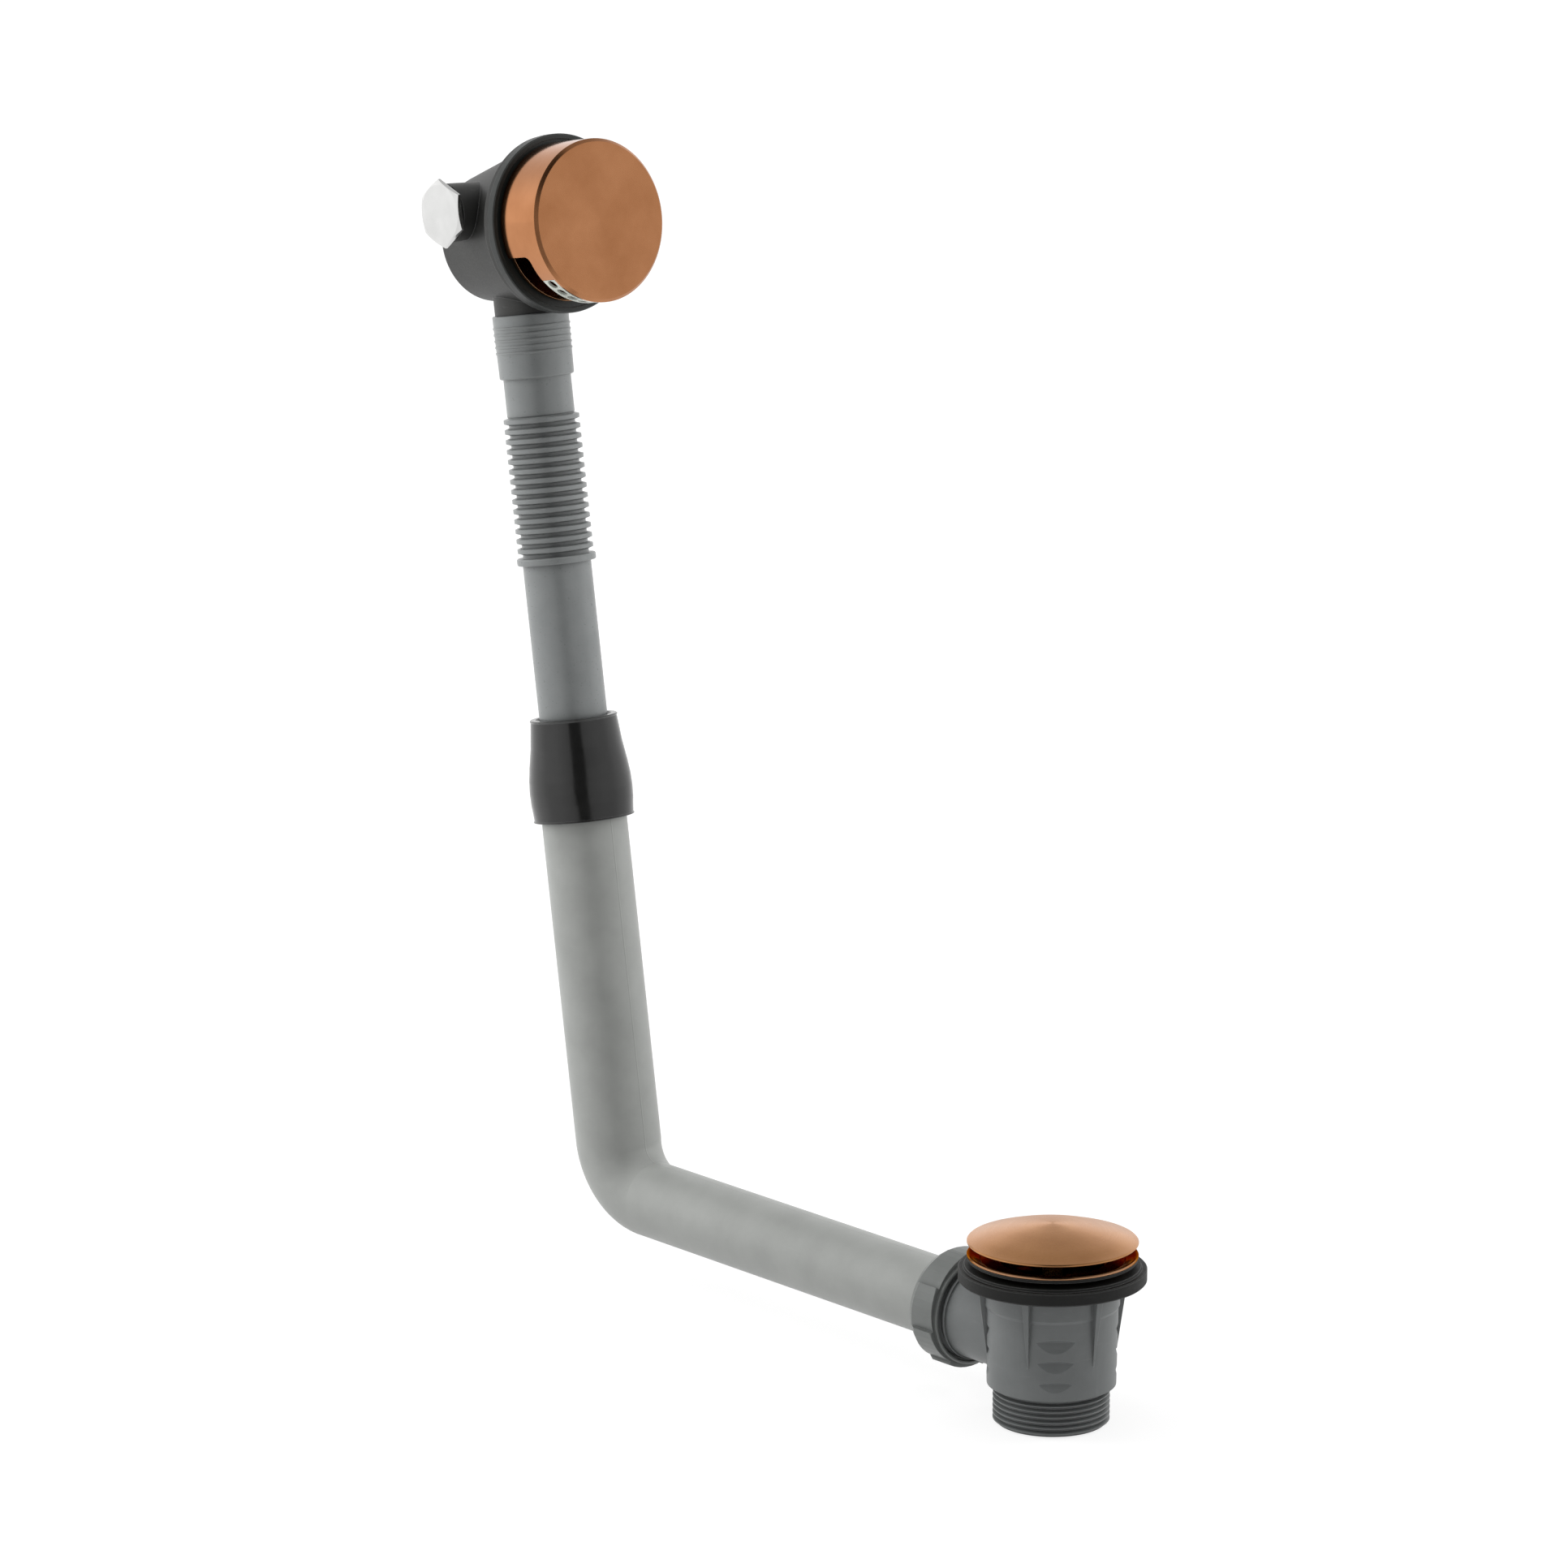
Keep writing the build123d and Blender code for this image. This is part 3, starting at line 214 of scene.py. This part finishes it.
def moulded(name, pale, deep, roughness, grain_mm=0.5, grain_depth_mm=0.02, edge_mm=0.35,
            ior=1.49, specular=0.5, scuffed=0.05, lines=None):
    """A moulded plastic or rubber: clouds of two shades, a fine grain, painted shade in its
    creases, edges painted lighter for wear and as a highlight, and a few scuffs. Lines is a
    function that gives the height of mould lines."""
    cloud_mm, crease_mm, crease_light, line_height_mm = 20, 2.5, 0.4, 0.2
    material, tree = blank(name)
    place = millimetres(tree)
    grain = add(tree, "TexNoise", {
        "Vector": place, "Scale": 1 / grain_mm, "Detail": 2})["Fac"]
    scuffs = add(tree, "VectorMath", [place, (0.25, 0.25, 1.6)], operation="MULTIPLY")[0]
    scuffs = add(tree, "TexNoise", {
        "Vector": scuffs, "Scale": 0.35, "Detail": 5, "Roughness": 0.7})["Fac"]
    scuffs = add(tree, "MapRange", [scuffs, 0.6, 0.78, 0.0, 1.0])[0]

    clouds = add(tree, "TexNoise", {
        "Vector": place, "Scale": 1 / cloud_mm, "Detail": 4, "Roughness": 0.6})["Fac"]
    clouds = add(tree, "MapRange", [clouds, 0.3, 0.7])[0]
    colour = add(tree, "Mix", {
        0: clouds, 6: linear(deep), 7: linear(pale)}, data_type="RGBA")[2]
    # Painted shade: within crease_mm of other surfaces the colour goes over to near black.
    painted_shade_mix = add(tree, "AmbientOcclusion", {"Distance": crease_mm / 1000}, samples=4)["AO"]
    painted_shade_mix = add(tree, "MapRange", [painted_shade_mix, 0.2, 0.85, crease_light, 1.0])[0]
    colour = add(tree, "Mix", {
        0: painted_shade_mix, 6: linear("050505"), 7: colour}, data_type="RGBA")[2]
    normal = rounded(tree, edge_mm)
    # Painted highlight and wear: edges are lifted towards pale grey, and the scuffs add to them.
    wear_and_edge_highlight = add(tree, "Math", [edges(tree, normal), 0.22], operation="MULTIPLY")[0]
    wear_and_edge_highlight = add(tree, "Math", [scuffs, scuffed, wear_and_edge_highlight], operation="MULTIPLY_ADD")[0]
    colour = add(tree, "Mix", {
        0: wear_and_edge_highlight, 6: colour, 7: linear("d4d6d4")}, data_type="RGBA")[2]

    rough = add(tree, "MapRange", [grain, 0.3, 0.7, roughness - 0.05, roughness + 0.05])[0]
    rough = add(tree, "Math", [scuffs, 2 * scuffed, rough], operation="MULTIPLY_ADD")[0]
    normal = add(tree, "Bump", {
        "Height": grain, "Strength": 0.4, "Distance": grain_depth_mm / 1000,
        "Normal": normal})[0]
    if lines:
        normal = add(tree, "Bump", {
            "Height": lines(tree), "Strength": 1.0, "Distance": line_height_mm / 1000,
            "Normal": normal})[0]
    plastic = add(tree, "BsdfPrincipled", {
        "Base Color": colour, "Roughness": rough, "IOR": ior, "Specular IOR Level": specular,
        "Normal": normal})
    add(tree, "OutputMaterial", [plastic[0]])
    return material


dress(moulded("grey_polypropylene_moulding", "727575", "686b6b", 0.42),
      "waste_body", "slip_ring")


# The waste gasket is moulded in black EPDM rubber and stretched over the body's top flange.
# It is near black and dull, with a slight grey bloom where it has been handled. The small
# seals inside are the same rubber.
black_rubber = moulded("black_rubber_moulding", "1a1b19", "131312", 0.55, grain_mm=0.9,
                       grain_depth_mm=0.03, edge_mm=0.5, ior=1.52, specular=0.25,
                       scuffed=0.02)
dress(black_rubber, "waste_gasket", "cone_washer", "flange_washer", "plug_seal",
      "spigot_ring", "cap_ring", "inlet_plug_washer", "inlet_connector_washer")


# The waste flange is brass, cast and turned, then copper plated and polished. It is screwed
# into the body's tail thread, and its three-armed bar carries the plug's cartridge.
def turned_copper(name, pale, deep, roughness, anisotropy, origin=(0, 0, 0), turn=0,
                  glance="ffffff", shade_mm=20, shell=None):
    """Copper plate brushed on a lathe: arcs round the axis, which spread light across them.
    Glance is its tint where it is seen edge on. Hollows within shade_mm are painted dark as
    shade.
    A shell, given as its face's height and its bore's radius in mm, has a polished side and is
    painted dark inside as shade."""
    line_mm, line_depth_mm, edge_mm, side_roughness = 0.3, 0.0012, 0.3, 0.14
    shadow = linear("38200f")
    material, tree = blank(name)
    place = millimetres(tree, origin, turn)
    drift = add(tree, "TexNoise", {"Vector": place, "Scale": 0.12, "Detail": 3})["Color"]
    warped = add(tree, "VectorMath", [drift, (1.2, 1.2, 1.2), place],
                 operation="MULTIPLY_ADD")[0]
    warped = add(tree, "SeparateXYZ", [warped])
    flat = add(tree, "CombineXYZ", [warped[0], warped[1]])[0]
    radius = add(tree, "VectorMath", [flat], operation="LENGTH")["Value"]
    line = add(tree, "CombineXYZ", [radius, warped[2]])[0]
    brush = add(tree, "TexNoise", {
        "Vector": line, "Scale": 1 / line_mm, "Detail": 3, "Roughness": 0.7,
    }, noise_dimensions="2D")["Fac"]
    rough = add(tree, "MapRange", [brush, 0.3, 0.7, roughness - 0.04, roughness + 0.05])[0]

    normal = rounded(tree, edge_mm)
    tarnish = add(tree, "TexNoise", {
        "Vector": place, "Scale": 0.04, "Detail": 5, "Roughness": 0.55})["Fac"]
    tone = add(tree, "Math", [brush, 0.15, tarnish], operation="MULTIPLY_ADD")[0]
    # Painted highlight: edges are lifted towards the pale copper.
    tone = add(tree, "Math", [edges(tree, normal), 0.2, tone], operation="MULTIPLY_ADD")[0]
    tone = add(tree, "MapRange", [tone, 0.4, 0.75])[0]
    colour = add(tree, "Mix", {
        0: tone, 6: linear(deep), 7: linear(pale)}, data_type="RGBA")[2]
    # Painted shade: within shade_mm of other surfaces the colour goes over to the dark brown
    # shadow colour.
    painted_shade_mix = add(tree, "AmbientOcclusion", {"Distance": shade_mm / 1000}, samples=6)["AO"]
    painted_shade_mix = add(tree, "MapRange", [painted_shade_mix, 0.15, 0.75])[0]
    colour = add(tree, "Mix", {0: painted_shade_mix, 6: shadow, 7: colour}, data_type="RGBA")[2]
    if shell:
        face_height, bore_radius = shell
        from_axis = add(tree, "VectorMath", [place, (1, 1, 0)], operation="MULTIPLY")[0]
        from_axis = add(tree, "VectorMath", [from_axis], operation="LENGTH")["Value"]
        height = add(tree, "SeparateXYZ", [place])["Z"]
        face = add(tree, "MapRange", [height, face_height - 0.2, face_height + 0.2])[0]
        rough = add(tree, "Mix", {0: face, 2: side_roughness, 3: rough})[0]
        # Painted shade: inside the bore and behind the face the shell takes the shadow colour.
        outside = add(tree, "MapRange", [from_axis, bore_radius, bore_radius + 0.3])[0]
        outside = add(tree, "Math", [outside, face], operation="MAXIMUM")[0]
        colour = add(tree, "Mix", {0: outside, 6: shadow, 7: colour}, data_type="RGBA")[2]

    normal = add(tree, "Bump", {
        "Height": brush, "Strength": 0.5, "Distance": line_depth_mm / 1000,
        "Normal": normal})[0]
    axis = (math.sin(math.radians(turn)), 0, math.cos(math.radians(turn)))
    outward = add(tree, "VectorMath", [add(tree, "TexCoord")["Object"], origin],
                  operation="SUBTRACT")[0]
    along = add(tree, "VectorMath", [axis, outward], operation="CROSS_PRODUCT")[0]
    across = add(tree, "VectorMath", [add(tree, "NewGeometry")["Normal"], along],
                 operation="CROSS_PRODUCT")[0]
    across = add(tree, "VectorMath", [across], operation="NORMALIZE")[0]
    copper = add(tree, "BsdfPrincipled", {
        "Base Color": colour, "Metallic": 1.0, "Roughness": rough, "Anisotropic": anisotropy,
        "Tangent": across, "Specular Tint": linear(glance), "Normal": normal})
    add(tree, "OutputMaterial", [copper[0]])
    return material


dress(turned_copper("polished_copper_plate", "c69673", "ae805d", 0.12, 0.3, glance="a88465"),
      "waste_flange")


# The push-to-close cartridge is turned brass: a housing screwed into the bar's hub, a stem
# that slides in it over a bright steel spring, and the latch pin that rides in its groove.
def bare_metal(name, pale, deep, roughness):
    """A bright metal with fine machining lines and a slight unevenness in its colour."""
    line_mm, line_depth_mm, edge_mm = 0.35, 0.003, 0.25
    material, tree = blank(name)
    place = millimetres(tree)
    lines = add(tree, "TexNoise", {"Vector": place, "Scale": 1 / line_mm, "Detail": 3})["Fac"]
    clouds = add(tree, "TexNoise", {"Vector": place, "Scale": 0.09, "Detail": 4})["Fac"]
    clouds = add(tree, "MapRange", [clouds, 0.35, 0.65])[0]
    colour = add(tree, "Mix", {
        0: clouds, 6: linear(deep), 7: linear(pale)}, data_type="RGBA")[2]
    rough = add(tree, "MapRange", [lines, 0.3, 0.7, roughness * 0.8, roughness * 1.25])[0]
    normal = add(tree, "Bump", {
        "Height": lines, "Strength": 0.3, "Distance": line_depth_mm / 1000,
        "Normal": rounded(tree, edge_mm)})[0]
    metal = add(tree, "BsdfPrincipled", {
        "Base Color": colour, "Metallic": 1.0, "Roughness": rough, "Normal": normal})
    add(tree, "OutputMaterial", [metal[0]])
    return material


dress(bare_metal("turned_brass", "c9a463", "b18c4c", 0.28),
      "clicker_housing", "clicker_stem", "inlet_connector")
dress(bare_metal("drawn_spring_steel", "b9babb", "9c9da0", 0.22),
      "clicker_spring", "latch_pin")


# The plug is a spun brass dome with a skirt, copper plated and brushed while it turned, so
# its light fans out from the centre. It screws on the stem's top.
dress(turned_copper("brushed_copper_plug", "cb9362", "ba8355", 0.3, 0.7), "plug_cover")


# The union nut is moulded in grey polypropylene, with eight stepped grips, and screws on
# the branch to close the cone seal round the pipe.
dress(moulded("dark_grey_polypropylene_nut", "777a78", "6d706e", 0.38), "union_nut")


# The elbow pipe is one light grey polypropylene moulding: a lower run, a tight bend and a
# wider upright. It pushes into the branch, and a fine line along its length shows where
# the mould closed.
def mould_line(tree):
    """A low ridge in the pipe's plane, where the two halves of the mould met."""
    side = add(tree, "SeparateXYZ", [millimetres(tree)])["Y"]
    off = add(tree, "Math", [side], operation="ABSOLUTE")[0]
    return add(tree, "MapRange", [off, 0.35, 0.1, 0.0, 0.5])[0]


dress(moulded("light_grey_polypropylene_pipe", "a2a4a1", "989a97", 0.4, edge_mm=0.5,
              lines=mould_line), "elbow_pipe")


# The sleeve is soft black PVC, moulded and pulled over the upright's mouth. It is shiny,
# and its lips inside grip the sliding tube.
dress(moulded("glossy_black_sleeve", "1e1e1d", "181818", 0.16, grain_mm=3.0,
              grain_depth_mm=0.004, edge_mm=0.6, ior=1.53, scuffed=0.01), "slide_sleeve")


# The overflow tube is blown in grey polyethylene: a slide end, a stop collar, corrugations
# that let it bend, and a socket. Blowing leaves it waxy and a little uneven.
dress(moulded("blown_grey_polyethylene_tube", "878a8a", "7d8080", 0.32, grain_mm=1.1,
              grain_depth_mm=0.05, edge_mm=0.5, ior=1.51), "flexible_tube")


# The overflow body is moulded in black polypropylene with a spark-eroded matt skin. It has
# a slanting round chamber, a spigot and two threaded inlets.
dress(moulded("black_polypropylene_body", "323230", "292928", 0.5, grain_mm=0.6,
              grain_depth_mm=0.05, edge_mm=0.5), "overflow_body")


# The overflow's gasket is black rubber too, painted a lighter grey than the waste's to stand in
# for the light that falls on its top, and its raised rim seals against the bath's outer face.
dress(moulded("black_rubber_gasket_painted_lit", "262927", "1f2220", 0.42, grain_mm=0.9,
              grain_depth_mm=0.03, edge_mm=0.5, ior=1.52, scuffed=0.02), "overflow_gasket")


# The overflow's cap and insert are brass, copper plated. The cap is brushed on a lathe and
# lacquered, and clips on the insert's hub over a rubber ring. Both are turned about the
# head's axis, which stands square to the leaning upright and starts on the cap's face.
lean = 9.05
bend = Vector((-0.2751, 0, 0.0353))
head_height, head_depth = 0.4227, 0.0554
head = bend + head_height * Vector(
    (-math.sin(math.radians(lean)), 0, math.cos(math.radians(lean)))) + head_depth * Vector(
    (math.cos(math.radians(lean)), 0, math.sin(math.radians(lean))))
dress(turned_copper("brushed_copper_cap", "bd835b", "ad744d", 0.27, 0.45, head, 90 - lean,
                    shade_mm=2, shell=(-1.4, 33.8)), "overflow_cap")
dress(turned_copper("polished_copper_insert", "c69673", "ae805d", 0.15, 0.3, head, 90 - lean,
                    glance="a88465"), "overflow_insert")


# The flow strip is pale acetal, moulded with a row of holes that even out the filling
# water, and sits in the slot behind the cap's lower edge.
dress(moulded("pale_acetal_strip", "dfe3da", "d2d6cc", 0.3, grain_mm=0.7, ior=1.48),
      "flow_strip")


# The hexagon plug of the spare inlet is turned from brass bar and chrome plated.
dress(bare_metal("chrome_plate", "d8d8d7", "d0d0cf", 0.1), "inlet_plug")
